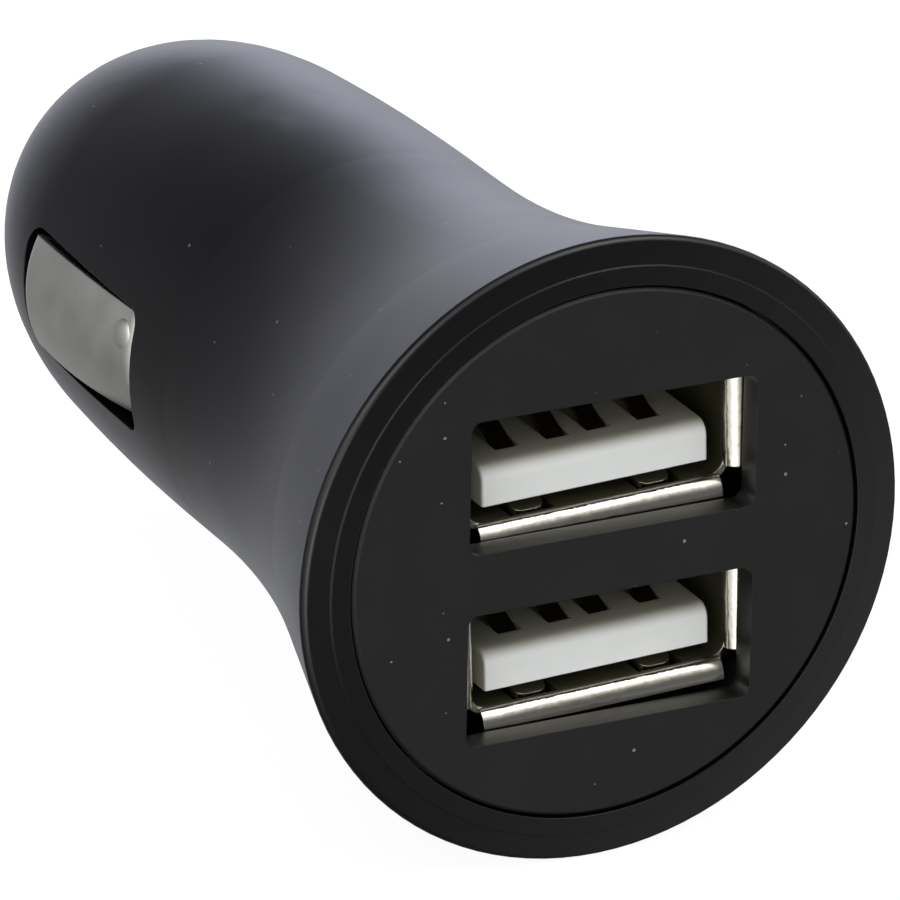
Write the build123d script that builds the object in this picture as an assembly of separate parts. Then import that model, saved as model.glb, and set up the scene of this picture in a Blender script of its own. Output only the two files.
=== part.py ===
from build123d import *

import os
from math import acos, asin, atan2, cos, hypot, radians, sin, sqrt, tan

# A car charger plug with two USB sockets in its face. Y runs along the plug, from the face at
# y = 0 back to the nose. X runs across to the right and Z is up. All sizes are in millimetres.

# Face plate and its two openings
opening_width = 14.0
opening_height = 6.25
opening_corner = 0.5
opening_pitch = 9.12
opening_shift = 0.27
opening_drop = 0.4
plate_margin = 1.48
plate_gap = 0.12
plate_thickness = 1.3
plate_edge_chamfer = 0.15
skirt_thickness = 0.8
skirt_gap = 0.12
hook_reach = 0.3
hook_depth = 1.0
hook_angle = 26.0
hook_count = 4

# Trumpet housing, outside
lip_width = 0.88
lip_drop = 0.1
lip_step = 0.05
rim_width = 1.35
flange_edge_y = 0.35
flange_edge_round = 0.3
flare_corner_y = 15.29
barrel_start_y = 23.56
barrel_radius = 10.4
barrel_length = 3.44
nose_draft = 0.45
nose_taper_length = 12.0
dome_height = 13.0
nose_flat_radius = 4.2
nose_edge_round = 0.7

# Trumpet housing, inside
wall = 1.6
plate_ledge_width = 0.75
plate_ledge_depth = 1.7
board_ledge_width = 0.85
board_ledge_depth = 1.4
rail_thickness = 1.2
rail_height = 1.9

# USB socket: stamped shell, standard mating sizes
shell_inner_width = 12.5
shell_inner_height = 5.12
shell_sheet = 0.3
shell_corner = 0.6
shell_length = 10.0
shell_plate_gap = 0.15
port_pitch = 8.83
port_rise = -0.09
port_shift = 0.56
port_turn = 2.0
mouth_depth = 0.6
mouth_reach = 0.95
mouth_corner_gap = 0.3
finger_width = 1.6
finger_tip_round = 0.5
finger_window_gap = 0.3
finger_length = 6.15
finger_root_y = 7.1
finger_lap = 0.5
finger_straight = 0.2
finger_hook = 1.3
finger_bow = 0.3
finger_spacing = 6.2
shell_leg_width = 1.6
shell_leg_lap = 1.0

# USB socket: insulator with its tongue, and the four contacts
tongue_width = 11.1
tongue_thickness = 1.84
tongue_floor_gap = 0.67
tongue_setback = 0.7
tongue_nose_round = 0.7
tongue_edge_round = 0.15
tongue_lap = 0.5
insulator_block_length = 2.0
insulator_gap = 0.05
groove_width = 1.2
groove_depth = 0.5
groove_setback = 1.55
contact_width = 0.9
contact_sheet = 0.25
contact_bow = 0.6
contact_bow_y = 2.2
contact_rest_y = 5.0
contact_bend = 0.5
contact_pitches = (-3.5, -1.0, 1.0, 3.5)
contact_gap = 0.08
pin_tail = 0.9

# Circuit boards
board_thickness = 1.2
port_board_gap = 0.25
board_side_gap = 0.65
board_end_reach = 0.6
board_tab_width = 2.4
board_fit_gap = 0.1

# Side ground contacts and their slots
slot_setback = 0.3
slot_length = 13.0
slot_width = 6.0
slot_corner = 1.8
slot_front_corner = 0.8
ear_sheet = 0.4
ear_proud = 0.15
ear_crest_place = 7.9
ear_arch_radius = 45.0
ear_crown_radius = 6.0
ear_half_angle = 27.0
ear_corner = 1.3
ear_tongue_width = 3.0
ear_bend = 0.8
ear_front_gap = 0.45
ear_rear_gap = 0.8
ear_tongue_reach = 1.9
ear_tongue_gap = 0.8
ear_wall_gap = 0.25
ground_spring_sheet = 0.25
ground_spring_width = 2.4
ground_spring_bend = 0.9
ground_spring_foot = 3.0
ground_spring_touch = 2.6
ground_spring_curl = 1.4
foot_seat_gap = 0.4

# Tip contact in the nose, with its spring and seat
tip_radius = 2.6
tip_reach = 4.4
tip_dome = 1.2
tip_flange_radius = 3.6
tip_flange_thickness = 1.0
tip_stub_radius = 1.3
tip_stub_length = 1.4
tip_gap = 0.15
nose_floor = 2.0
guide_wall = 1.2
guide_length = 4.0
tip_spring_radius = 2.25
tip_spring_wire = 0.48
tip_spring_turns = 6
tip_spring_end_gap = 0.02
seat_radius = 3.3
seat_sheet = 0.4
seat_leg_width = 2.4
seat_leg_length = 2.8
seat_nub_radius = 1.4
seat_nub_height = 0.9

# Parts soldered to the power board, each placed from the board's front edge and its middle
inductor_side = 6.6
inductor_height = 4.2
inductor_crown = 0.84
inductor_crown_radius = 2.77
inductor_place = 5.75
can_base = 0.8
can_base_margin = 0.15
input_can_radius = 3.15
input_can_height = 5.6
input_can_place = 5.75
output_can_radius = 2.5
output_can_height = 4.4
output_can_place = 12.55
output_can_level = -3.4
chip_length = 5.0
chip_width = 4.0
chip_height = 1.5
chip_place = 13.35
chip_standoff = 0.05
chip_lead = 0.45
chip_lead_pitch = 1.27
chip_lead_count = 4
small_chip_length = 3.0
small_chip_width = 1.6
small_chip_height = 1.1
small_chip_lead_pitch = 0.95
small_chip_lead_count = 3
small_chip_place = 20.55
small_chip_level = 4.4
diode_length = 4.4
diode_width = 2.6
diode_height = 2.2
diode_standoff = 0.1
diode_tab_reach = 0.5
diode_place = 19.75
diode_level = -4.6
chip_part_length = 1.6
chip_part_width = 0.8
chip_part_height = 0.5
chip_part_pitch = 1.9
resistor_count = 5
resistor_place = 15.35
resistor_level = 5.0
ceramic_count = 4
ceramic_scale = 1.25
ceramic_place = 17.35
ceramic_level = -4.6

# How far a cutting block runs past the face that it opens
cut_run = 1.0

# Face, from the openings outward. The pair sits a little low and to the right of the plate's middle.
opening_side = opening_width / 2 + opening_shift
opening_foot = (opening_pitch + opening_height) / 2 + opening_drop
opening_reach = hypot(opening_side, opening_foot)
plate_radius = opening_reach + plate_margin
lip_inner_radius = plate_radius + plate_gap
lip_outer_radius = lip_inner_radius + lip_width
flange_radius = lip_outer_radius + rim_width
plate_ledge_radius = lip_inner_radius - plate_ledge_width
ledge_end_y = plate_thickness + plate_ledge_depth
skirt_radius = plate_ledge_radius - skirt_gap
skirt_end_y = ledge_end_y + hook_depth
opening_levels = (opening_pitch / 2 - opening_drop, -opening_pitch / 2 - opening_drop)

# Housing, from the face back to the nose. The flare's cone runs toward a corner on the barrel,
# and a long arc rounds that corner.
flare = atan2(flange_radius - barrel_radius, flare_corner_y - flange_edge_y)
flare_blend_radius = (barrel_start_y - flare_corner_y) / tan(flare / 2)
barrel_end_y = barrel_start_y + barrel_length
nose_base_radius = barrel_radius - nose_draft
dome_start_y = barrel_end_y + nose_taper_length
nose_flat_y = dome_start_y + dome_height * sqrt(1 - (nose_flat_radius / nose_base_radius) ** 2)
nose_inner_y = nose_flat_y - nose_floor

# Sockets and boards. Both sockets sit on one board, which is turned a little in the housing.
shell_front_y = plate_thickness + shell_plate_gap
mouth_end_y = shell_front_y + mouth_depth
shell_rear_y = shell_front_y + shell_length
board_seat_y = shell_rear_y + board_thickness
tongue_front_y = shell_front_y + tongue_setback
block_front_y = shell_rear_y - insulator_block_length
tongue_bottom = -shell_inner_height / 2 + tongue_floor_gap
tongue_top = tongue_bottom + tongue_thickness
groove_front_y = tongue_front_y + groove_setback
groove_floor = tongue_top - groove_depth
contact_level = tongue_top - groove_depth / 2 - contact_sheet / 4
pin_end_y = board_seat_y + pin_tail
port_levels = {"upper": port_rise + port_pitch / 2, "lower": port_rise - port_pitch / 2}
board_face = board_thickness / 2
power_board_front_y = pin_end_y + board_fit_gap
power_board_end_y = dome_start_y + board_end_reach
power_board_height = 2 * (nose_base_radius - wall - board_side_gap)

# Side contacts and tip
slot_front_y = barrel_end_y + slot_setback
slot_rear_y = slot_front_y + slot_length
ear_front_y = slot_front_y + ear_front_gap
ear_rear_y = slot_rear_y - ear_rear_gap
ear_crest_y = slot_front_y + ear_crest_place
ear_crest_radius = barrel_radius + ear_proud
seat_y = power_board_end_y + seat_sheet
tip_flange_y = nose_inner_y - tip_gap - tip_flange_thickness


def flare_points(inset):
    """Ends and middle of the long arc that blends the cone into the barrel, inset from the outside."""
    radius = barrel_radius - inset
    blend = flare_blend_radius + inset
    corner_y = flange_edge_y + (flange_radius - inset / cos(flare) - radius) / tan(flare)
    reach = blend * tan(flare / 2)
    start = (radius + reach * sin(flare), corner_y - reach * cos(flare))
    middle = (radius + blend * (1 - cos(flare / 2)), corner_y + reach - blend * sin(flare / 2))
    end = (radius, corner_y + reach)
    return start, middle, end


def housing_radius(y, inset=0.0):
    """Radius of the trumpet at a place in front of the straight barrel."""
    start, _, end = flare_points(inset)
    blend = flare_blend_radius + inset
    if y < start[1]:
        return start[0] + (start[1] - y) * tan(flare)
    return end[0] + blend - sqrt(blend ** 2 - max(end[1] - y, 0) ** 2)


def taper_curve(inset):
    """Long bend that eases the straight barrel into the nose."""
    start = barrel_radius - inset
    middle_y = barrel_end_y + nose_taper_length / 2
    return Bezier((start, barrel_end_y), (start, middle_y), (nose_base_radius - inset, dome_start_y))


def dome_curve(inset, flat_radius):
    """Side of the nose that runs on smoothly from the bend, close to an ellipse, cut off at a flat end."""
    base = nose_base_radius - inset
    height = dome_height - inset
    turn = acos(flat_radius / base)
    pull = 4 / 3 * tan(turn / 4)
    lean = 2 * nose_draft / nose_taper_length * height * pull
    leave_radius = base * (cos(turn) + pull * sin(turn))
    leave_y = dome_start_y + height * (sin(turn) - pull * cos(turn))
    end = (flat_radius, dome_start_y + height * sin(turn))
    pulled = (base - lean, dome_start_y + height * pull)
    return Bezier((base, dome_start_y), pulled, (leave_radius, leave_y), end)


def nose_radius(y, inset=0.0):
    """Radius of the housing from the straight barrel back to the end of the nose."""
    if y < dome_start_y:
        share = (y - barrel_end_y) / nose_taper_length
        return barrel_radius - inset - nose_draft * max(share, 0) ** 2
    dome = dome_curve(inset, nose_flat_radius)
    low, high = 0.0, 1.0
    while high - low > 1e-6:
        middle = (low + high) / 2
        if (dome @ middle).Y < y:
            low = middle
        else:
            high = middle
    return (dome @ low).X


def tube(radius, inner, y_start, y_end):
    """A round ring along Y."""
    ring = Circle(radius) - Circle(inner)
    return extrude(Plane.XZ.offset(-y_start) * ring, -(y_end - y_start))


def disc(radius, y_start, y_end):
    """A round bar along Y."""
    return extrude(Plane.XZ.offset(-y_start) * Circle(radius), -(y_end - y_start))


def block(x_range, y_range, z_range):
    """A plain box between two limits on each axis."""
    size = [high - low for low, high in (x_range, y_range, z_range)]
    middle = [(high + low) / 2 for low, high in (x_range, y_range, z_range)]
    return Pos(*middle) * Box(*size)


def centred(half):
    """Limits of a size that is centred on zero."""
    return (-half, half)


def facing_back(y, z=0.0):
    """Plane across the plug, with X to the right, that looks back toward the nose."""
    return Plane((0, y, z), x_dir=(1, 0, 0), z_dir=(0, 1, 0))


def along_side():
    """Plane along the plug, with Y as its first axis and Z as its second."""
    return Plane((0, 0, 0), x_dir=(0, 1, 0), z_dir=(1, 0, 0))


def turned(section):
    """Full turn of a half section about Y, with its start line kept away from the slots and rails."""
    return Rot(0, 45, 0) * revolve(section, axis=Axis.Y)


def strip(points, bend, sheet):
    """Section of a bent sheet strip that follows the points."""
    return trace(FilletPolyline(*points, radius=bend), sheet)


def trumpet_core(inset, front, flat_radius):
    """Half section of the trumpet, shrunk by inset. The front lists points from the axis to the cone."""
    start, middle, end = flare_points(inset)
    dome = dome_curve(inset, flat_radius)
    tip = dome @ 1
    edges = [Line(a, b) for a, b in zip(front, front[1:] + [start])]
    edges.append(ThreePointArc(start, middle, end))
    edges.append(Line(end, (end[0], barrel_end_y)))
    edges.append(taper_curve(inset))
    edges.append(dome)
    edges.append(Line(tip, (0, tip.Y)))
    edges.append(Line((0, tip.Y), front[0]))
    return make_face(edges)


def housing_outside():
    """Outside of the housing: sloped lip, small step, sloped rim, then the trumpet and the nose."""
    rim = (flange_radius, flange_edge_y)
    front = [(0, 0), (lip_inner_radius, 0), (lip_outer_radius, lip_drop)]
    front += [(lip_outer_radius, lip_drop + lip_step), rim]
    section = trumpet_core(0, front, nose_flat_radius)
    section = fillet(section.vertices().sort_by_distance(rim)[0], flange_edge_round)
    nose = (nose_flat_radius, nose_flat_y)
    section = fillet(section.vertices().sort_by_distance(nose)[0], nose_edge_round)
    return turned(section)


def housing_inside():
    """The hollow behind the plate's ledge."""
    inner = housing_radius(ledge_end_y, wall)
    section = trumpet_core(wall, [(0, ledge_end_y), (inner, ledge_end_y)], nose_flat_radius / 2)
    return turned(section)


def board_rails():
    """Four rails that hold the power board's long edges from both faces."""
    front = board_seat_y + board_ledge_depth / 2
    low = power_board_height / 2 - rail_height / 2
    near = board_face + board_fit_gap
    rails = []
    for side in (1, -1):
        for level in (1, -1):
            x_range = sorted((side * near, side * (near + rail_thickness)))
            z_range = sorted((level * low, level * flange_radius))
            rails.append(block(x_range, (front, power_board_end_y), z_range))
    return rails


def make_body_shell():
    # The hollow leaves out the ledge, rails and guide tube that stand in it
    hollow = housing_inside()
    ledge_radius = housing_radius(board_seat_y, wall) - board_ledge_width
    hollow -= tube(flange_radius, ledge_radius, board_seat_y, board_seat_y + board_ledge_depth)
    for rail in board_rails():
        hollow -= rail
    bore = tip_flange_radius + tip_gap
    hollow -= disc(bore + guide_wall, nose_inner_y - guide_length, nose_flat_y)
    shell = housing_outside() - hollow
    # Recess for the face plate, and the ledge behind it
    shell -= disc(lip_inner_radius, -cut_run, plate_thickness)
    shell -= disc(plate_ledge_radius, -cut_run, ledge_end_y + skirt_gap)
    # Stepped bore in the nose for the tip contact
    shell -= disc(bore, nose_inner_y - guide_length - cut_run, nose_inner_y)
    shell -= disc(tip_radius + tip_gap, nose_inner_y - cut_run, nose_flat_y + cut_run)
    # Slots for the side contacts
    slot = RectangleRounded(slot_length, slot_width, slot_corner)
    slot += Pos(-slot_length / 4, 0) * RectangleRounded(slot_length / 2, slot_width, slot_front_corner)
    reach = barrel_radius - wall - slot_corner
    for side in (1, -1):
        middle = (side * reach, (slot_front_y + slot_rear_y) / 2, 0)
        shell -= extrude(Plane(middle, x_dir=(0, 1, 0), z_dir=(side, 0, 0)) * slot, barrel_radius)
    return shell


def make_front_plate():
    """Round face plate with two USB openings and a snap skirt behind it."""
    plate = disc(plate_radius, 0, plate_thickness)
    plate = chamfer(plate.edges().group_by(Axis.Y)[0], plate_edge_chamfer)
    window = RectangleRounded(opening_width, opening_height, opening_corner)
    for level in opening_levels:
        front = facing_back(-cut_run, level) * Pos(opening_shift, 0)
        plate -= extrude(front * window, plate_thickness + 2 * cut_run)
    plate += tube(skirt_radius, skirt_radius - skirt_thickness, plate_thickness, skirt_end_y)
    # Teeth on the skirt that catch behind the housing's ledge
    hook_y = ledge_end_y + skirt_gap / 2
    base = skirt_radius - skirt_thickness / 2
    crest = (skirt_radius + hook_reach, hook_y)
    hook = Polyline((base, hook_y), crest, (skirt_radius, skirt_end_y), (base, skirt_end_y), close=True)
    tooth = revolve(make_face(hook), axis=Axis.Y, revolution_arc=hook_angle)
    for turn in range(hook_count):
        plate += Rot(0, 360 / hook_count * (turn + 0.5) - hook_angle / 2, 0) * tooth
    return plate


def shell_outline(y, grow):
    """Rounded outline of the shell's inside at a depth, grown evenly."""
    width = shell_inner_width + 2 * grow
    height = shell_inner_height + 2 * grow
    return facing_back(y) * RectangleRounded(width, height, shell_corner + grow)


def shell_tube(grow):
    """Straight part of the shell, behind its rolled mouth."""
    return extrude(shell_outline(mouth_end_y, grow), shell_rear_y - mouth_end_y)


def mouth_lip(wall_place, wall_length):
    """Lip of one wall, below the origin: the sheet rolls outward to the front through a quarter turn."""
    centre = Pos(mouth_end_y, -wall_place - mouth_reach)
    ring = Ellipse(mouth_depth, mouth_reach) - Ellipse(mouth_depth - shell_sheet, mouth_reach - shell_sheet)
    quarter = Rectangle(mouth_depth, mouth_reach, align=(Align.MAX, Align.MIN))
    half = wall_length / 2 - mouth_corner_gap
    return extrude(along_side() * (centre * (ring & quarter)), half, both=True)


def spring_finger():
    """One finger over the origin: rooted at the rear, bowed inward along +Z, with a rounded tip."""
    root = finger_root_y + shell_front_y
    tip = root - finger_length
    mid = -shell_sheet / 2
    points = [(root + finger_lap, mid), (root - finger_straight, mid)]
    points.append((tip + finger_hook, mid + finger_bow + shell_sheet / 2))
    points.append((tip, mid))
    bent = extrude(along_side() * strip(points, shell_sheet, shell_sheet), finger_width / 2, both=True)
    length = root + finger_lap - tip
    outline = RectangleRounded(finger_width, length, finger_tip_round)
    middle = Plane((0, tip + length / 2, 0))
    return bent & extrude(middle * outline, finger_bow + shell_sheet * 2, both=True)


def make_port_shell():
    shell = shell_tube(shell_sheet) - shell_tube(0)
    for turn in (0, 180):
        shell += Rot(0, turn, 0) * mouth_lip(shell_inner_height / 2, shell_inner_width)
        shell += Rot(0, turn + 90, 0) * mouth_lip(shell_inner_width / 2, shell_inner_height)
    # Spring fingers in windows, two in the floor and two in the roof
    root = finger_root_y + shell_front_y
    half_width = finger_width / 2 + finger_window_gap
    finger = spring_finger()
    half_height = shell_inner_height / 2
    places = [Pos(x, 0, -half_height) for x in (-finger_spacing / 2, finger_spacing / 2)]
    places += [Rot(0, 180, 0) * place for place in places]
    window_front = root - finger_length - finger_window_gap
    window = block(centred(half_width), (window_front, root), (-2 * shell_sheet, shell_sheet))
    for place in places:
        shell -= place * window
    for place in places:
        shell += place * finger
    # Solder legs on the two side walls
    for side in (1, -1):
        x_range = sorted((side * shell_inner_width / 2, side * (shell_inner_width / 2 + shell_sheet)))
        shell += block(x_range, (shell_rear_y - shell_leg_lap, pin_end_y), centred(shell_leg_width / 2))
    return shell


def contact_channels(width, y_start, y_end, bottom, top):
    """Four straight channels, one for each contact."""
    return [block((x - width / 2, x + width / 2), (y_start, y_end), (bottom, top)) for x in contact_pitches]


def make_tongue():
    """Tongue with a rounded front edge on its contact side and softened sides."""
    rear = block_front_y + tongue_lap
    height = tongue_top - tongue_bottom
    middle = ((tongue_front_y + rear) / 2, (tongue_top + tongue_bottom) / 2)
    side = along_side() * (Pos(*middle) * Rectangle(rear - tongue_front_y, height))
    front_top = side.vertices().sort_by_distance((0, tongue_front_y, tongue_top))[0]
    tongue = extrude(fillet(front_top, tongue_nose_round), tongue_width / 2, both=True)
    front_edges = tongue.edges().filter_by(Axis.Z).group_by(Axis.Y)[0]
    return fillet(front_edges, tongue_edge_round)


def make_port_insulator():
    """Rear block and tongue, moulded in one, with a groove and a hole for each contact."""
    width = shell_inner_width - 2 * insulator_gap
    height = shell_inner_height - 2 * insulator_gap
    outline = RectangleRounded(width, height, shell_corner)
    insulator = extrude(facing_back(block_front_y) * outline, insulator_block_length) + make_tongue()
    cuts = contact_channels(groove_width, groove_front_y, block_front_y, groove_floor, tongue_top + cut_run)
    cuts += contact_channels(groove_width, block_front_y - cut_run, shell_rear_y + cut_run,
                             groove_floor, tongue_top)
    for cut in cuts:
        insulator -= cut
    return insulator


def make_port_contacts():
    """Four bent strips that lie in the grooves, bow above the tongue and end as solder pins."""
    front = groove_front_y + contact_gap
    points = [(front, contact_level), (front + contact_bow_y, tongue_top + contact_bow)]
    points += [(front + contact_rest_y, contact_level), (pin_end_y, contact_level)]
    one = extrude(along_side() * strip(points, contact_bend, contact_sheet), contact_width / 2, both=True)
    room = block(centred(contact_width), (front, pin_end_y), (groove_floor, tongue_top + 2 * contact_bow))
    return [Pos(x, 0, 0) * (one & room) for x in contact_pitches]


def seated(level, shape):
    """A piece of one socket, moved to its place on the port board."""
    return Rot(0, -port_turn, 0) * Pos(port_shift, 0, level) * shape


def board_tab(grow, front):
    """Tab at the front of the power board, between the two sockets."""
    half = board_tab_width / 2 + grow
    z_range = (port_rise - half, port_rise + half)
    return block(centred(board_face + grow), (front, pin_end_y + pin_tail), z_range)


def make_port_board():
    """Round board behind the sockets, drilled for their pins and slotted for the power board's tab."""
    radius = housing_radius(board_seat_y, wall) - port_board_gap
    board = disc(radius, shell_rear_y, board_seat_y)
    through = (shell_rear_y - cut_run, board_seat_y + cut_run)
    leg_half = shell_leg_width / 2 + board_fit_gap
    leg = block(centred(shell_sheet / 2 + board_fit_gap), through, centred(leg_half))
    leg_x = (shell_inner_width + shell_sheet) / 2
    pin = contact_width + 2 * contact_gap
    pin_half = contact_sheet / 2 + contact_gap
    for level in port_levels.values():
        for side in (1, -1):
            board -= seated(level, Pos(side * leg_x, 0, 0) * leg)
        for hole in contact_channels(pin, *through, contact_level - pin_half, contact_level + pin_half):
            board -= seated(level, hole)
    return board - board_tab(board_fit_gap, shell_rear_y - cut_run)


def make_power_board():
    half = power_board_height / 2
    board = block(centred(board_face), (power_board_front_y, power_board_end_y), centred(half))
    return board + board_tab(0, shell_rear_y + board_fit_gap)


def ear_arch(y, run=0.0):
    """Middle of the side contact's strip on its long arch, or a point some way along its tangent there."""
    reach = sqrt(ear_arch_radius ** 2 - (y - ear_crest_y) ** 2)
    radius = ear_crest_radius - ear_sheet / 2 - ear_arch_radius + reach
    slope = (ear_crest_y - y) / reach
    return (radius + slope * run, y + run)


def ear_section():
    """Section of the side contact: front tongue, step up, long arch, step down and rear tongue."""
    tongue_end_y = slot_rear_y + ear_tongue_reach
    front_low = nose_radius(slot_front_y, wall) - ear_wall_gap - ear_sheet / 2
    rear_low = nose_radius(tongue_end_y, wall) - ear_wall_gap - ear_sheet / 2
    arch_start = ear_front_y + 2 * ear_bend
    arch_end = ear_rear_y - 2 * ear_bend
    front = [(front_low, ear_front_y - ear_tongue_reach), (front_low, ear_front_y)]
    front += [ear_arch(arch_start, -1.4 * ear_bend), ear_arch(arch_start)]
    rear = [ear_arch(arch_end), ear_arch(arch_end, 1.5 * ear_bend)]
    rear += [(rear_low, ear_rear_y + ear_bend / 3), (rear_low, tongue_end_y - ear_tongue_gap)]
    arch = ThreePointArc(ear_arch(arch_start), ear_arch(ear_crest_y), ear_arch(arch_end))
    line = FilletPolyline(*front, radius=ear_bend).edges() + arch.edges()
    line += FilletPolyline(*rear, radius=ear_bend).edges()
    return trace(line, ear_sheet)


def ear_outline():
    """Outline of the strip from the side: rounded at the rear, with a narrower tongue at each end."""
    width = 2 * ear_crown_radius
    length = ear_rear_y - ear_front_y + 2 * ear_sheet
    middle = Vector(0, (ear_front_y + ear_rear_y) / 2, 0)
    half_width = ear_crown_radius * sin(radians(ear_half_angle))
    blade = RectangleRounded(length, 2 * half_width, ear_corner)
    front = Pos(-length / 4, 0) * Rectangle(length / 2, width)
    tongues = Rectangle(2 * length, ear_tongue_width)
    return Plane(middle, x_dir=(0, 1, 0), z_dir=(1, 0, 0)) * (blade + front + tongues)


def make_ground_contact():
    """Right-hand side contact: an arched strip, crowned across its width, captive in its slot."""
    middle = ear_crest_radius - ear_crown_radius
    crown = Axis((middle, 0, 0), (0, 1, 0))
    ear = revolve(ear_section(), axis=crown, revolution_arc=2 * ear_half_angle)
    ear = Pos(middle, 0, 0) * Rot(0, -ear_half_angle, 0) * Pos(-middle, 0, 0) * ear
    return ear & extrude(ear_outline(), flange_radius)


def make_ground_spring():
    """Leaf soldered to the power board that pushes the right-hand side contact outward."""
    level = board_face + ground_spring_sheet / 2
    touch_y = ear_front_y + ground_spring_touch
    reach = ear_arch(touch_y)[0] - ear_sheet / 2 - ground_spring_sheet
    foot_rear = power_board_end_y - seat_leg_length - foot_seat_gap
    points = [(level, foot_rear), (level, foot_rear - ground_spring_foot), (reach, touch_y)]
    points.append((reach - ground_spring_curl, touch_y - ground_spring_curl))
    section = strip(points, ground_spring_bend, ground_spring_sheet)
    return extrude(section, ground_spring_width / 2, both=True)


def make_tip_contact():
    """Turned pin that stands out of the nose, with an inner flange and a stub for the spring."""
    stub_y = tip_flange_y - tip_stub_length
    flange_end = tip_flange_y + tip_flange_thickness
    tip_end = nose_flat_y + tip_reach
    shoulder = (tip_radius, tip_end - tip_dome)
    corners = [(0, tip_end), (0, stub_y), (tip_stub_radius, stub_y), (tip_stub_radius, tip_flange_y)]
    corners += [(tip_flange_radius, tip_flange_y), (tip_flange_radius, flange_end)]
    corners += [(tip_radius, flange_end), shoulder]
    ball = (tip_radius ** 2 + tip_dome ** 2) / (2 * tip_dome)
    bend = asin(tip_radius / ball) / 2
    middle = (ball * sin(bend), tip_end - ball * (1 - cos(bend)))
    nose = ThreePointArc(shoulder, middle, (0, tip_end))
    return revolve(make_face(Polyline(*corners).edges() + nose.edges()), axis=Axis.Y)


def make_tip_spring():
    wire = tip_spring_wire / 2
    start = seat_y + wire + tip_spring_end_gap
    height = tip_flange_y - wire - tip_spring_end_gap - start
    pitch = height / tip_spring_turns
    path = Helix(pitch, height, tip_spring_radius, center=(0, start, 0), direction=(0, 1, 0))
    section = Plane(path @ 0, z_dir=path % 0) * Circle(wire)
    return sweep(section, path=path, is_frenet=True)


def make_spring_seat():
    """Stamped seat on the end of the power board, with two legs soldered to its faces."""
    seat = disc(seat_radius, power_board_end_y, seat_y)
    seat += disc(seat_nub_radius, seat_y, seat_y + seat_nub_height)
    leg_y = (power_board_end_y - seat_leg_length, power_board_end_y)
    for side in (1, -1):
        x_range = sorted((side * board_face, side * (board_face + seat_sheet)))
        seat += block(x_range, leg_y, centred(seat_leg_width / 2))
    return seat


def on_board(place, level, side):
    """Plane on one face of the power board, looking out from it, placed from the board's front edge."""
    origin = (side * board_face, power_board_front_y + place, level)
    return Plane(origin, x_dir=(0, 1, 0), z_dir=(side, 0, 0))


def standing(length, width, height):
    """A box that stands on its plane."""
    return Box(length, width, height, align=(Align.CENTER, Align.CENTER, Align.MIN))


def make_power_inductor():
    base_height = inductor_height - inductor_crown
    base = extrude(RectangleRounded(inductor_side, inductor_side, inductor_side / 6), base_height)
    crown = Pos(0, 0, base_height) * extrude(Circle(inductor_crown_radius), inductor_crown)
    return on_board(inductor_place, 0, 1) * (base + crown)


def capacitor_can(radius, height):
    """Surface-mount electrolytic can on its square base, with a rolled groove low on the can."""
    side = 2 * (radius + can_base_margin)
    outline = chamfer(Rectangle(side, side).vertices().group_by(Axis.X)[1], radius / 4)
    base = extrude(outline, can_base)
    can = Pos(0, 0, can_base) * extrude(Circle(radius), height - can_base)
    can = fillet(can.edges().group_by(Axis.Z)[-1], radius / 8)
    groove_height = can_base + (height - can_base) / 4
    groove = Pos(0, 0, groove_height) * Torus(radius + radius / 16, radius / 8)
    return base + (can - groove)


def chip_body(length, width, height, leads, pitch):
    """Moulded chip with flat leads along its two long sides."""
    body = Pos(0, 0, chip_standoff) * standing(length, width, height - chip_standoff)
    lead = standing(chip_lead, width / 4, height / 2)
    for side in (1, -1):
        for number in range(leads):
            x = (number - (leads - 1) / 2) * pitch
            body += Pos(x, side * (width / 2 + width / 16), 0) * lead
    return body


def make_schottky_diode():
    body = Pos(0, 0, diode_standoff) * standing(diode_length, diode_width, diode_height - diode_standoff)
    tabs = standing(diode_length + 2 * diode_tab_reach, diode_width / 2, diode_height / 2)
    return on_board(diode_place, diode_level, 1) * (body + tabs)


def chip_row(count, place, level, side, scale=1.0):
    """A row of small chip parts along the board."""
    one = standing(chip_part_width * scale, chip_part_length * scale, chip_part_height * scale)
    return [on_board(place + number * chip_part_pitch, level, side) * one for number in range(count)]


def save(name, shape):
    export_step(shape, "parts/" + name + ".step")


os.makedirs("parts", exist_ok=True)

save("body_shell", make_body_shell())
save("front_plate", make_front_plate())

port_shell = make_port_shell()
port_insulator = make_port_insulator()
port_contacts = make_port_contacts()
for name, level in port_levels.items():
    save(name + "_port_shell", seated(level, port_shell))
    save(name + "_port_insulator", seated(level, port_insulator))
    save(name + "_port_contacts", Compound([seated(level, contact) for contact in port_contacts]))

save("port_board", make_port_board())
save("power_board", make_power_board())

ground_contact = make_ground_contact()
ground_spring = make_ground_spring()
save("right_ground_contact", ground_contact)
save("left_ground_contact", mirror(ground_contact, about=Plane.YZ))
save("right_ground_spring", ground_spring)
save("left_ground_spring", mirror(ground_spring, about=Plane.YZ))

save("tip_contact", make_tip_contact())
save("tip_spring", make_tip_spring())
save("spring_seat", make_spring_seat())

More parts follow.
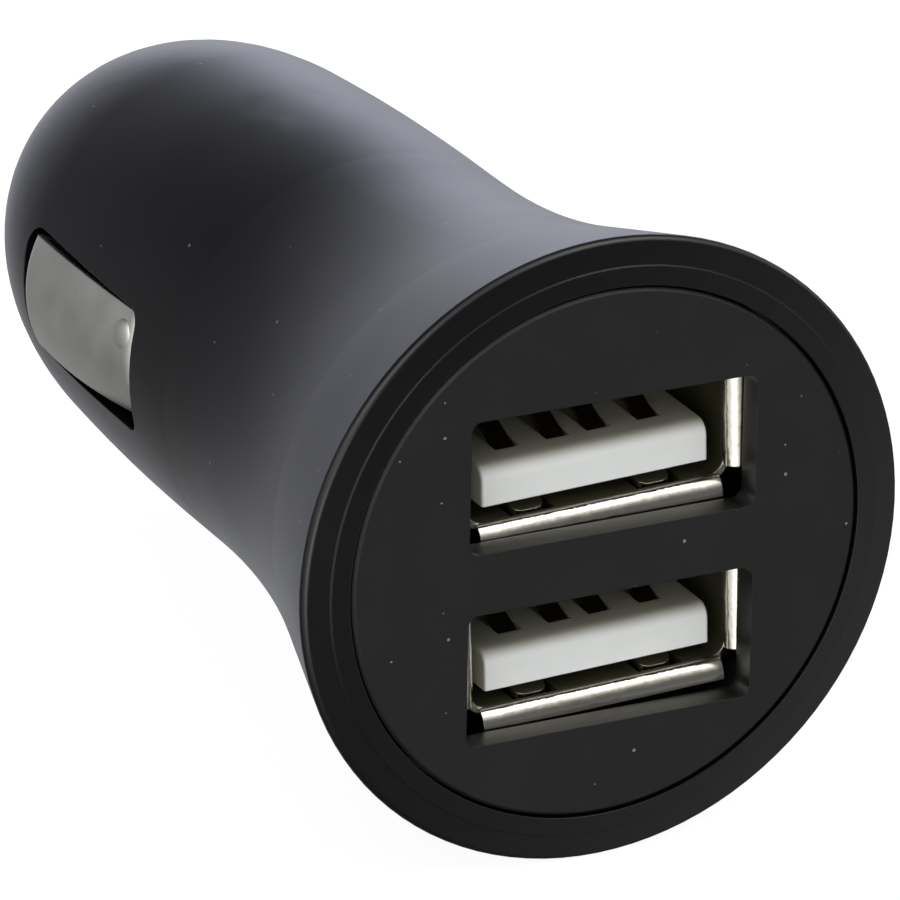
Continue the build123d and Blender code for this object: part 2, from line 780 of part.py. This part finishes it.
save("power_inductor", make_power_inductor())
input_can = capacitor_can(input_can_radius, input_can_height)
save("input_capacitor", on_board(input_can_place, 0, -1) * input_can)
output_can = capacitor_can(output_can_radius, output_can_height)
save("output_capacitor", on_board(output_can_place, output_can_level, 1) * output_can)
chip = chip_body(chip_length, chip_width, chip_height, chip_lead_count, chip_lead_pitch)
save("converter_chip", on_board(chip_place, 0, -1) * chip)
small_chip = chip_body(small_chip_length, small_chip_width, small_chip_height,
                       small_chip_lead_count, small_chip_lead_pitch)
save("port_control_chip", on_board(small_chip_place, small_chip_level, -1) * small_chip)
save("schottky_diode", make_schottky_diode())
resistors = chip_row(resistor_count, resistor_place, resistor_level, 1)
save("chip_resistors", Compound(resistors))
ceramics = chip_row(ceramic_count, ceramic_place, ceramic_level, -1, ceramic_scale)
save("ceramic_capacitors", Compound(ceramics))
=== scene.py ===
import bmesh
import bpy
from mathutils import Matrix, Vector


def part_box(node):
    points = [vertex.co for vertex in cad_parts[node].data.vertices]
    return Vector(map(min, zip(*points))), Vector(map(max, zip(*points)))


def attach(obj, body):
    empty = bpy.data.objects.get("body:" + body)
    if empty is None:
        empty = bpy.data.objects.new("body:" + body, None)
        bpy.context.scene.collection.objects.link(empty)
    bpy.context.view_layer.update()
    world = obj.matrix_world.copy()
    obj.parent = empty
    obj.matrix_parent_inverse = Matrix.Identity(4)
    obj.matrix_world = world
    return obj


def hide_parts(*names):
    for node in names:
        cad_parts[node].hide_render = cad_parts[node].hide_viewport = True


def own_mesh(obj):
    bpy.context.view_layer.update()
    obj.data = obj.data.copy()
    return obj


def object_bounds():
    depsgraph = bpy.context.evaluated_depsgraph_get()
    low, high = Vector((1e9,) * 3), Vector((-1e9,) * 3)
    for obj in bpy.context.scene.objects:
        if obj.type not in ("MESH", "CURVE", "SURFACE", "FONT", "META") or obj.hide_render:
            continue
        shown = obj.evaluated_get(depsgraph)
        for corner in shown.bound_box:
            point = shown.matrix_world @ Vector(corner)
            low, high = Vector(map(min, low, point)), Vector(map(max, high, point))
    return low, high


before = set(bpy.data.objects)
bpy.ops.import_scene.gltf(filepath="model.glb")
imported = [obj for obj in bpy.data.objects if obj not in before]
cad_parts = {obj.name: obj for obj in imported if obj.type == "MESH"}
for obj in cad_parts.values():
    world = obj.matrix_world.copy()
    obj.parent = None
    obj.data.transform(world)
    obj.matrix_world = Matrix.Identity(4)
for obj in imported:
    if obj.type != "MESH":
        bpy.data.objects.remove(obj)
cad_low, cad_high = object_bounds()

# A car charger plug with two USB sockets, dressed and lit as in a studio picture.
# The frame is in metres. Y runs along the plug from its face to its nose, and Z is up.

MM = 0.001

# Camera, as it stood for the picture: a long lens, a little above the plug and to its left
PICTURE_WIDTH = 900
FOCAL_PIXELS = 10000
SENSOR_WIDTH = 36.0
CAMERA_PLACE = Vector((-187.39, -355.256, 171.72)) * MM
CAMERA_RIGHT = Vector((0.8953, -0.4452, 0.016))
CAMERA_UP = Vector((0.1577, 0.3503, 0.9233))

# Studio: soft lights far away, each with its direction, how tightly it gathers, its strength
# and its tint
ROOM_LIGHT = 0.115
ROOM_TINT = "eef1f6"
SOFT_LIGHTS = {
    "back_window": ((0.55, 0.80, 0.24), 22.0, 1.04, "e6ebff"),
    "white_wall_behind": ((0.14, 0.985, 0.08), 12.0, 0.56, "eaecfc"),
    "low_back_right": ((0.56, 0.81, -0.18), 20.0, 0.25, "eef0fc"),
    "left_wall": ((-0.88, 0.47, 0.02), 10.0, 0.26, "f2f3f4"),
    "table_behind": ((0.20, 0.80, -0.57), 14.0, 0.14, "f4f4f6"),
    "table_behind_left": ((-0.22, 0.80, -0.56), 12.0, 0.10, "f6f6f4"),
    "low_camera_side": ((-0.42, -0.88, -0.22), 20.0, 2.9, "fffefb"),
    "window_upper_left": ((-0.60, -0.55, 0.58), 10.0, 2.4, "fffefb"),
    "left_card": ((-0.85, -0.45, -0.28), 8.0, 0.8, "fffefb"),
    "table_front": ((0.70, -0.53, -0.48), 10.0, 0.42, "f6f8f8"),
    "overhead": ((0.42, -0.45, 0.79), 12.0, 3.2, "fffefa"),
    "left_side": ((-0.93, -0.05, 0.36), 14.0, 0.9, "fdfdfb"),
    "right_side": ((0.93, -0.05, 0.36), 14.0, 0.9, "fdfdfb"),
    "ceiling": ((-0.10, -0.02, 0.99), 14.0, 0.8, "fdfdfb"),
}
FLOOR_SIDE = 4.0
FLOOR_GLOW = 0.93

# Dust: the widest speck, as a share of the space between specks
SPECK_WIDTH = 0.034

# Sizes of the pieces that a finish has to know
BARREL_RADIUS = 10.4 * MM
BOARD_FACE = 0.6 * MM
CAN_BASE = 0.8 * MM
# MOUTH_END: the depth where the painted shade inside the sockets fades in
MOUTH_END = 2.05 * MM

# Low round pip pressed up near the front edge of each side contact: the top of a flattened ball
# that is sunk into the strip, with its place along the plug and up
PIP_ALONG = 29.15 * MM
PIP_UP = 1.3 * MM
PIP_RADIUS = 0.75 * MM
PIP_RISE = 0.22 * MM
PIP_SINK = 0.12 * MM
OUTSIDE = 20.0 * MM

# Springs at the pressed contacts: joint, line of the give, fixed end on it,
# and how far
COIL_SEAT = 40.0 * MM
COIL_GIVE = 2.0 * MM
LEAF_GIVE = 1.4 * MM
GIVING_SPRINGS = {
    "tip_spring": ("tip_press", "y", COIL_SEAT, COIL_GIVE),
    "left_ground_spring": ("left_contact_press", "x", -BOARD_FACE, LEAF_GIVE),
    "right_ground_spring": ("right_contact_press", "x", BOARD_FACE, LEAF_GIVE),
}


def linear(code):
    """A colour from its sRGB hex code, as linear light."""
    parts = [int(code[i:i + 2], 16) / 255 for i in (0, 2, 4)]
    light = [p / 12.92 if p <= 0.04045 else ((p + 0.055) / 1.055) ** 2.4 for p in parts]
    return (*light, 1.0)


def per_mm(size):
    """Texture scale for a pattern that repeats about every size millimetres."""
    return 1 / (size * MM)


def add(tree, kind, sockets=None, **settings):
    """Adds a node with its settings. A socket takes a value, or a link from another node."""
    made = tree.nodes.new("ShaderNode" + kind)
    for name, value in settings.items():
        setattr(made, name, value)
    for name, value in (sockets or {}).items():
        if isinstance(value, bpy.types.NodeSocket):
            tree.links.new(value, made.inputs[name])
        else:
            made.inputs[name].default_value = value
    return made


def new_finish(name):
    """An empty material, with the place of a point on the part to draw patterns from."""
    finish = bpy.data.materials.new(name)
    finish.use_nodes = True
    tree = finish.node_tree
    tree.nodes.clear()
    place = add(tree, "TexCoord").outputs["Object"]
    return finish, tree, place


def surface(tree, sockets):
    """Ends a material with its surface shader."""
    shader = add(tree, "BsdfPrincipled", sockets)
    add(tree, "OutputMaterial", {"Surface": shader.outputs["BSDF"]})


def around_the_barrel(tree, place):
    """Place on the housing's skin, unrolled: millimetres round the barrel, and along it."""
    axes = add(tree, "SeparateXYZ", {"Vector": place})
    angle = add(tree, "Math", {0: axes.outputs["Z"], 1: axes.outputs["X"]}, operation="ARCTAN2")
    round_way = add(tree, "Math", {0: angle.outputs[0], 1: BARREL_RADIUS}, operation="MULTIPLY")
    flat = add(tree, "CombineXYZ", {"X": round_way.outputs[0], "Y": axes.outputs["Y"]})
    return flat.outputs[0]


def across_the_face(tree, place):
    """Place on the face, flat: across and up."""
    axes = add(tree, "SeparateXYZ", {"Vector": place})
    flat = add(tree, "CombineXYZ", {"X": axes.outputs["X"], "Y": axes.outputs["Z"]})
    return flat.outputs[0]


def dust_mask(tree, flat, spacing, share):
    """Sparse round specks of dust: 1 on a speck, 0 between."""
    cells = add(tree, "TexVoronoi", {
        "Vector": flat, "Scale": per_mm(spacing)}, voronoi_dimensions="2D")
    luck = add(tree, "SeparateColor", {"Color": cells.outputs["Color"]})
    size = add(tree, "Math", {0: luck.outputs["Green"], 1: SPECK_WIDTH}, operation="MULTIPLY")
    near = add(tree, "Math", {
        0: cells.outputs["Distance"], 1: size.outputs[0]}, operation="LESS_THAN")
    chosen = add(tree, "Math", {0: luck.outputs["Red"], 1: 1 - share}, operation="GREATER_THAN")
    both = add(tree, "Math", {0: near.outputs[0], 1: chosen.outputs[0]}, operation="MULTIPLY")
    return both.outputs[0]


def satin_abs():
    # ABS moulded against a satin-polished steel: near black, soft broad reflections, faint waves
    # where the wall cooled, and a few dust specks
    finish, tree, place = new_finish("satin_black_abs")
    skin = around_the_barrel(tree, place)
    dust = dust_mask(tree, skin, 2.6, 0.3)
    colour = add(tree, "Mix", {
        "Factor": dust, "A": linear("0b0b0d"), "B": linear("5d6064")}, data_type="RGBA")
    cloud = add(tree, "TexNoise", {"Vector": place, "Scale": per_mm(5.0), "Detail": 3.0})
    rough = add(tree, "MapRange", {"Value": cloud.outputs[0], "From Min": 0.3, "From Max": 0.7,
                                   "To Min": 0.14, "To Max": 0.2})
    waves = add(tree, "TexNoise", {"Vector": place, "Scale": per_mm(7.0), "Detail": 1.0})
    edge = add(tree, "Bevel", {"Radius": 0.08 * MM}, samples=4)
    waved = add(tree, "Bump", {"Height": waves.outputs[0], "Distance": 0.03 * MM, "Strength": 1.0,
                               "Normal": edge.outputs[0]})
    # Real grit is about 0.02 mm, too fine to show, so it is drawn at 0.09 mm
    grit = add(tree, "TexNoise", {"Vector": place, "Scale": per_mm(0.09), "Detail": 2.0})
    skin_normal = add(tree, "Bump", {"Height": grit.outputs[0], "Distance": 0.0012 * MM,
                                     "Normal": waved.outputs[0]})
    surface(tree, {
        "Base Color": colour.outputs["Result"], "Roughness": rough.outputs[0], "IOR": 1.49,
        "Normal": skin_normal.outputs[0]})
    return finish


def matte_abs():
    # ABS moulded against a spark-eroded steel: dull even black with a fine grain, rubs and dust
    finish, tree, place = new_finish("matte_black_abs")
    face = across_the_face(tree, place)
    dust = dust_mask(tree, face, 2.4, 0.45)
    colour = add(tree, "Mix", {
        "Factor": dust, "A": linear("101111"), "B": linear("77797a")}, data_type="RGBA")
    rub = add(tree, "TexNoise", {"Vector": place, "Scale": per_mm(3.0), "Detail": 4.0})
    dull = add(tree, "MapRange", {"Value": rub.outputs[0], "From Min": 0.3, "From Max": 0.7,
                                  "To Min": 0.5, "To Max": 0.62})
    # The walls of the openings were drawn off a smooth core, so they are glossier than the face
    facing = add(tree, "SeparateXYZ", {"Vector": add(tree, "NewGeometry").outputs["Normal"]})
    wall = add(tree, "MapRange", {"Value": facing.outputs["Y"], "From Min": -0.8, "From Max": -0.3})
    rough = add(tree, "Mix", {"Factor": wall.outputs[0], "A": dull.outputs[0], "B": 0.42})
    edge = add(tree, "Bevel", {"Radius": 0.06 * MM}, samples=4)
    grain = add(tree, "TexNoise", {"Vector": place, "Scale": per_mm(0.12), "Detail": 3.0})
    skin_normal = add(tree, "Bump", {"Height": grain.outputs[0], "Distance": 0.006 * MM,
                                     "Normal": edge.outputs[0]})
    surface(tree, {
        "Base Color": colour.outputs["Result"], "Roughness": rough.outputs["Result"], "IOR": 1.53,
        "Specular IOR Level": 0.4, "Normal": skin_normal.outputs[0]})
    return finish


def nickel_plated_sheet():
    # Cold-rolled steel sheet, nickel plated and stamped: bright nickel at the rolled mouth and on
    # the sheared edges, while deeper in the port a painted shade makes it dull olive-grey, and
    # rougher
    finish, tree, place = new_finish("nickel_plated_sheet")
    stretch = add(tree, "Mapping", {"Vector": place, "Scale": (0.05, 1.0, 1.0)})
    lines = add(tree, "TexNoise", {
        "Vector": stretch.outputs[0], "Scale": per_mm(0.06), "Detail": 3.0})
    axes = add(tree, "SeparateXYZ", {"Vector": place})
    # Where the painted shade goes: deeper than the mouth, and not on the sheared edges facing front
    depth = add(tree, "MapRange", {"Value": axes.outputs["Y"], "From Min": MOUTH_END - 0.25 * MM,
                                   "From Max": MOUTH_END + 0.25 * MM})
    facing = add(tree, "SeparateXYZ", {"Vector": add(tree, "NewGeometry").outputs["Normal"]})
    not_sheared = add(tree, "MapRange", {
        "Value": facing.outputs["Y"], "From Min": -0.85, "From Max": -0.5})
    inside = add(tree, "Math", {
        0: depth.outputs[0], 1: not_sheared.outputs[0]}, operation="MULTIPLY")
    bright = add(tree, "MapRange", {"Value": lines.outputs[0], "From Min": 0.3, "From Max": 0.7,
                                    "To Min": 0.1, "To Max": 0.2})
    rough = add(tree, "Mix", {"Factor": inside.outputs[0], "A": bright.outputs[0], "B": 0.5})
    stain = add(tree, "TexNoise", {"Vector": place, "Scale": per_mm(1.6), "Detail": 3.0})
    mouth = add(tree, "Mix", {
        "Factor": stain.outputs[0], "A": linear("d3cec0"),
        "B": linear("e2ded3")}, data_type="RGBA")
    # Painted shade: the dark olive-grey inside the port stands for the shade that falls deep in it
    shaded_inside_colour = add(tree, "Mix", {
        "Factor": stain.outputs[0], "A": linear("66654f"),
        "B": linear("7f7d66")}, data_type="RGBA")
    colour = add(tree, "Mix", {"Factor": inside.outputs[0], "A": mouth.outputs["Result"],
                               "B": shaded_inside_colour.outputs["Result"]}, data_type="RGBA")
    edge = add(tree, "Bevel", {"Radius": 0.05 * MM}, samples=4)
    skin_normal = add(tree, "Bump", {"Height": lines.outputs[0], "Distance": 0.002 * MM,
                                     "Normal": edge.outputs[0]})
    surface(tree, {
        "Base Color": colour.outputs["Result"], "Metallic": 1.0,
        "Roughness": rough.outputs["Result"], "Normal": skin_normal.outputs[0]})
    return finish


def satin_nickel_strip():
    # Steel with a satin nickel plate, tumbled after forming: soft grey metal, slightly warm
    finish, tree, place = new_finish("satin_nickel_strip")
    stretch = add(tree, "Mapping", {"Vector": place, "Scale": (1.0, 0.12, 1.0)})
    lines = add(tree, "TexNoise", {
        "Vector": stretch.outputs[0], "Scale": per_mm(0.1), "Detail": 3.0})
    cloud = add(tree, "TexNoise", {"Vector": place, "Scale": per_mm(1.8), "Detail": 3.0})
    rough = add(tree, "MapRange", {"Value": cloud.outputs[0], "From Min": 0.3, "From Max": 0.7,
                                   "To Min": 0.32, "To Max": 0.42})
    colour = add(tree, "Mix", {
        "Factor": cloud.outputs[0], "A": linear("e0ded8"),
        "B": linear("eceae5")}, data_type="RGBA")
    edge = add(tree, "Bevel", {"Radius": 0.1 * MM}, samples=4)
    skin_normal = add(tree, "Bump", {"Height": lines.outputs[0], "Distance": 0.003 * MM,
                                     "Normal": edge.outputs[0]})
    surface(tree, {
        "Base Color": colour.outputs["Result"], "Metallic": 1.0, "Roughness": rough.outputs[0],
        "Normal": skin_normal.outputs[0]})
    return finish


def white_nylon():
    # Glass-filled nylon, moulded: chalky white with a little light carried inside, faint flow
    # marks;
    # the long faces are painted greyer and a little yellow as shade, and the front faces stay white
    finish, tree, place = new_finish("white_nylon")
    flow = add(tree, "TexNoise", {"Vector": place, "Scale": per_mm(1.4), "Detail": 4.0})
    front_white = add(tree, "Mix", {
        "Factor": flow.outputs[0], "A": linear("e6e9e9"),
        "B": linear("f0f2f2")}, data_type="RGBA")
    # Painted shade: the top, sides and underside are coloured greyer for the shade inside the port
    shaded_long_faces = add(tree, "Mix", {
        "Factor": flow.outputs[0], "A": linear("adab9d"),
        "B": linear("c2c0b4")}, data_type="RGBA")
    # Mask of the faces not turned to the front, where the painted shade goes
    facing = add(tree, "SeparateXYZ", {"Vector": add(tree, "NewGeometry").outputs["Normal"]})
    long_face = add(tree, "MapRange", {
        "Value": facing.outputs["Y"], "From Min": -0.95, "From Max": -0.3})
    colour = add(tree, "Mix", {"Factor": long_face.outputs[0], "A": front_white.outputs["Result"],
                               "B": shaded_long_faces.outputs["Result"]}, data_type="RGBA")
    rough = add(tree, "MapRange", {"Value": flow.outputs[0], "To Min": 0.42, "To Max": 0.58})
    edge = add(tree, "Bevel", {"Radius": 0.06 * MM}, samples=4)
    grain = add(tree, "TexNoise", {"Vector": place, "Scale": per_mm(0.1), "Detail": 2.0})
    skin_normal = add(tree, "Bump", {"Height": grain.outputs[0], "Distance": 0.004 * MM,
                                     "Normal": edge.outputs[0]})
    surface(tree, {
        "Base Color": colour.outputs["Result"], "Roughness": rough.outputs[0], "IOR": 1.53,
        "Subsurface Weight": 0.15, "Subsurface Radius": (1.0, 0.9, 0.8),
        "Subsurface Scale": 0.25 * MM, "Normal": skin_normal.outputs[0]})
    return finish


def gold_flashed_bronze():
    # Phosphor bronze strip with a thin gold flash: yellow-brown metal, painted dark as the shade in
    # the grooves
    finish, tree, place = new_finish("gold_flashed_bronze")
    wear = add(tree, "TexNoise", {"Vector": place, "Scale": per_mm(0.5), "Detail": 4.0})
    # Painted shade: both tones are darker than bare gold-flashed bronze, for the shade the contacts
    # sit in
    colour = add(tree, "Mix", {
        "Factor": wear.outputs[0], "A": linear("5c5438"),
        "B": linear("7c714e")}, data_type="RGBA")
    rough = add(tree, "MapRange", {"Value": wear.outputs[0], "To Min": 0.22, "To Max": 0.4})
    surface(tree, {
        "Base Color": colour.outputs["Result"], "Metallic": 1.0, "Roughness": rough.outputs[0]})
    return finish


def green_laminate():
    # Glass-epoxy board under green solder mask: glossy green over a fine weave, darker in
    # the lines between patches of copper
    finish, tree, place = new_finish("green_laminate")
    weave = add(tree, "TexWave", {"Vector": place, "Scale": per_mm(0.4), "Distortion": 0.4},
                bands_direction="DIAGONAL")
    copper = add(tree, "TexBrick", {
        "Vector": place, "Scale": per_mm(2.4), "Color1": linear("1d5a33"),
        "Color2": linear("226a3b"), "Mortar": linear("123f24"), "Mortar Size": 0.06})
    skin_normal = add(tree, "Bump", {"Height": weave.outputs[1], "Distance": 0.004 * MM})
    surface(tree, {"Base Color": copper.outputs[0], "Roughness": 0.3, "IOR": 1.55,
                   "Normal": skin_normal.outputs[0]})
    return finish


def spring_steel():
    # Drawn spring steel: dark grey metal, a little uneven
    finish, tree, place = new_finish("spring_steel")
    lines = add(tree, "TexNoise", {"Vector": place, "Scale": per_mm(0.2), "Detail": 3.0})
    colour = add(tree, "Mix", {
        "Factor": lines.outputs[0], "A": linear("6f7276"),
        "B": linear("8b8e92")}, data_type="RGBA")
    rough = add(tree, "MapRange", {"Value": lines.outputs[0], "To Min": 0.26, "To Max": 0.42})
    surface(tree, {
        "Base Color": colour.outputs["Result"], "Metallic": 1.0, "Roughness": rough.outputs[0]})
    return finish


def nickel_plated_brass():
    # Stamped brass with a nickel plate: bright grey metal with fine rings round the plug's axis
    finish, tree, place = new_finish("nickel_plated_brass")
    axes = add(tree, "SeparateXYZ", {"Vector": place})
    flat = add(tree, "CombineXYZ", {"X": axes.outputs["X"], "Y": axes.outputs["Z"]})
    radius = add(tree, "VectorMath", {0: flat.outputs[0]}, operation="LENGTH")
    cut = add(tree, "CombineXYZ", {"X": radius.outputs["Value"], "Y": axes.outputs["Y"]})
    rings = add(tree, "TexNoise", {"Vector": cut.outputs[0], "Scale": per_mm(0.14), "Detail": 3.0})
    rough = add(tree, "MapRange", {"Value": rings.outputs[0], "From Min": 0.3, "From Max": 0.7,
                                   "To Min": 0.2, "To Max": 0.34})
    colour = add(tree, "Mix", {
        "Factor": rings.outputs[0], "A": linear("c4c1b8"),
        "B": linear("d6d4cc")}, data_type="RGBA")
    skin_normal = add(tree, "Bump", {"Height": rings.outputs[0], "Distance": 0.004 * MM})
    surface(tree, {
        "Base Color": colour.outputs["Result"], "Metallic": 1.0, "Roughness": rough.outputs[0],
        "Normal": skin_normal.outputs[0]})
    return finish


def sintered_ferrite():
    # Pressed and sintered ferrite: dull charcoal with a fine mineral grain
    finish, tree, place = new_finish("sintered_ferrite")
    grain = add(tree, "TexNoise", {"Vector": place, "Scale": per_mm(0.15), "Detail": 5.0})
    colour = add(tree, "Mix", {
        "Factor": grain.outputs[0], "A": linear("2a2b2c"),
        "B": linear("47484a")}, data_type="RGBA")
    skin_normal = add(tree, "Bump", {"Height": grain.outputs[0], "Distance": 0.02 * MM})
    surface(tree, {
        "Base Color": colour.outputs["Result"], "Roughness": 0.7,
        "Normal": skin_normal.outputs[0]})
    return finish


def aluminium_can():
    # Drawn aluminium can on a black moulded base: satin grey metal above, dull black at the board
    finish, tree, place = new_finish("aluminium_can")
    axes = add(tree, "SeparateXYZ", {"Vector": place})
    rise = add(tree, "Math", {0: axes.outputs["X"]}, operation="ABSOLUTE")
    metal = add(tree, "Math", {
        0: rise.outputs[0], 1: BOARD_FACE + CAN_BASE}, operation="GREATER_THAN")
    lines = add(tree, "TexNoise", {"Vector": place, "Scale": per_mm(0.2), "Detail": 3.0})
    drawn = add(tree, "Mix", {
        "Factor": lines.outputs[0], "A": linear("b9bbbd"),
        "B": linear("cdcfd0")}, data_type="RGBA")
    colour = add(tree, "Mix", {"Factor": metal.outputs[0], "A": linear("1a1a1b"),
                               "B": drawn.outputs["Result"]}, data_type="RGBA")
    rough = add(tree, "MapRange", {"Value": lines.outputs[0], "To Min": 0.3, "To Max": 0.45})
    surface(tree, {"Base Color": colour.outputs["Result"], "Metallic": metal.outputs[0],
                   "Roughness": rough.outputs[0]})
    return finish


def moulded_epoxy():
    # Black epoxy moulding compound: dull, with tiny filler grains
    finish, tree, place = new_finish("moulded_epoxy")
    grain = add(tree, "TexNoise", {"Vector": place, "Scale": per_mm(0.12), "Detail": 4.0})
    colour = add(tree, "Mix", {
        "Factor": grain.outputs[0], "A": linear("17181a"),
        "B": linear("26272a")}, data_type="RGBA")
    skin_normal = add(tree, "Bump", {"Height": grain.outputs[0], "Distance": 0.006 * MM})
    surface(tree, {
        "Base Color": colour.outputs["Result"], "Roughness": 0.55,
        "Normal": skin_normal.outputs[0]})
    return finish


def fired_ceramic():
    # Fired multilayer ceramic: smooth tan body
    finish, tree, place = new_finish("fired_ceramic")
    grain = add(tree, "TexNoise", {"Vector": place, "Scale": per_mm(0.3), "Detail": 3.0})
    colour = add(tree, "Mix", {
        "Factor": grain.outputs[0], "A": linear("9c7f58"),
        "B": linear("b39468")}, data_type="RGBA")
    surface(tree, {"Base Color": colour.outputs["Result"], "Roughness": 0.4})
    return finish


def dress_the_parts():
    """Gives each piece the finish of its material slot."""
    finishes = {
        "satin_black_plastic": satin_abs(),
        "matte_black_plastic": matte_abs(),
        "nickel_plated_steel": nickel_plated_sheet(),
        "satin_nickel_steel": satin_nickel_strip(),
        "white_nylon": white_nylon(),
        "gold_flashed_bronze": gold_flashed_bronze(),
        "green_laminate": green_laminate(),
        "spring_steel": spring_steel(),
        "tinned_brass": nickel_plated_brass(),
        "ferrite": sintered_ferrite(),
        "can_aluminium": aluminium_can(),
        "chip_epoxy": moulded_epoxy(),
        "chip_ceramic": fired_ceramic(),
    }
    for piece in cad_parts.values():
        for holder in piece.material_slots:
            holder.material = finishes[holder.material.name]


def pressed_pips():
    """A low round pip on each side contact, which moves with it."""
    for side, hand in ((-1, "left"), (1, "right")):
        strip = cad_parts[hand + "_ground_contact"]
        start = Vector((side * OUTSIDE, PIP_ALONG, PIP_UP))
        _, place, normal, _ = strip.ray_cast(start, Vector((-side, 0, 0)))
        turn = normal.to_track_quat("Z", "Y").to_matrix().to_4x4()
        dome = Matrix.Diagonal((PIP_RADIUS, PIP_RADIUS, PIP_RISE, 1))
        shape = bmesh.new()
        sunk = Matrix.Translation(place - normal * PIP_SINK)
        bmesh.ops.create_uvsphere(shape, u_segments=40, v_segments=20, radius=1.0,
                                  matrix=sunk @ turn @ dome)
        mesh = bpy.data.meshes.new(hand + "_contact_pip")
        shape.to_mesh(mesh)
        shape.free()
        mesh.shade_smooth()
        mesh.materials.append(strip.material_slots[0].material)
        pip = bpy.data.objects.new(hand + "_contact_pip", mesh)
        bpy.context.scene.collection.objects.link(pip)
        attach(pip, hand + "_contact")


def springs_that_give():
    """Copies of the springs, hung on the housing, with the original parts hidden."""
    for name, (joint, line, fixed_end, give) in GIVING_SPRINGS.items():
        low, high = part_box(name)
        reach = max(abs(getattr(corner, line) - fixed_end) for corner in (low, high))
        along, anchor = Vector(), Vector()
        setattr(along, line, 1.0)
        setattr(anchor, line, fixed_end)
        spring = bpy.data.objects.new(name + "_giving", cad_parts[name].data.copy())
        bpy.context.scene.collection.objects.link(spring)
        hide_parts(name)
        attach(spring, "housing")
        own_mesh(spring)


def studio_light():
    """Soft light from all round: a dim room, and broad bright patches that fade at their edges."""
    world = bpy.data.worlds.new("studio")
    bpy.context.scene.world = world
    world.use_nodes = True
    tree = world.node_tree
    tree.nodes.clear()
    way = add(tree, "TexCoord").outputs["Generated"]
    total = [ROOM_LIGHT * part for part in linear(ROOM_TINT)[:3]]
    for direction, gather, strength, tint in SOFT_LIGHTS.values():
        aim = Vector(direction).normalized()
        facing = add(tree, "VectorMath", {0: way, 1: aim}, operation="DOT_PRODUCT")
        front = add(tree, "Math", {0: facing.outputs["Value"], 1: 0.0}, operation="MAXIMUM")
        patch = add(tree, "Math", {0: front.outputs[0], 1: gather}, operation="POWER")
        glow = [strength * part for part in linear(tint)[:3]]
        light = add(tree, "VectorMath", {0: glow, "Scale": patch.outputs[0]}, operation="SCALE")
        total = add(tree, "VectorMath", {0: light.outputs[0], 1: total}, operation="ADD").outputs[0]
    backdrop = add(tree, "Background", {"Color": total})
    add(tree, "OutputWorld", {"Surface": backdrop.outputs[0]})


def studio_floor():
    """Wide pale floor at the lowest point of the plug. It glows, so that shadows stay faint."""
    half = FLOOR_SIDE / 2
    level = cad_low.z
    turns = ((-1, -1), (1, -1), (1, 1), (-1, 1))
    corners = [(x * half, y * half, level) for x, y in turns]
    mesh = bpy.data.meshes.new("floor")
    mesh.from_pydata(corners, [], [(0, 1, 2, 3)])
    floor = bpy.data.objects.new("floor", mesh)
    bpy.context.scene.collection.objects.link(floor)
    finish, tree, _ = new_finish("white_paper")
    surface(tree, {
        "Base Color": linear("707070"), "Roughness": 0.9, "Emission Color": linear("ffffff"),
        "Emission Strength": FLOOR_GLOW})
    mesh.materials.append(finish)
    floor.visible_glossy = False
    floor.visible_diffuse = False
    floor.visible_shadow = False


def picture_camera():
    """Camera at the picture's place and tilt."""
    lens = bpy.data.cameras.new("camera")
    lens.sensor_width = SENSOR_WIDTH
    lens.lens = FOCAL_PIXELS / PICTURE_WIDTH * SENSOR_WIDTH
    camera = bpy.data.objects.new("camera", lens)
    right = CAMERA_RIGHT.normalized()
    back = right.cross(CAMERA_UP).normalized()
    up = back.cross(right)
    turn = Matrix((right, up, back)).transposed()
    camera.matrix_world = Matrix.Translation(CAMERA_PLACE) @ turn.to_4x4()
    bpy.context.scene.collection.objects.link(camera)
    bpy.context.scene.camera = camera


dress_the_parts()
pressed_pips()
springs_that_give()
studio_light()
studio_floor()
picture_camera()
bpy.context.scene.view_settings.view_transform = "Standard"
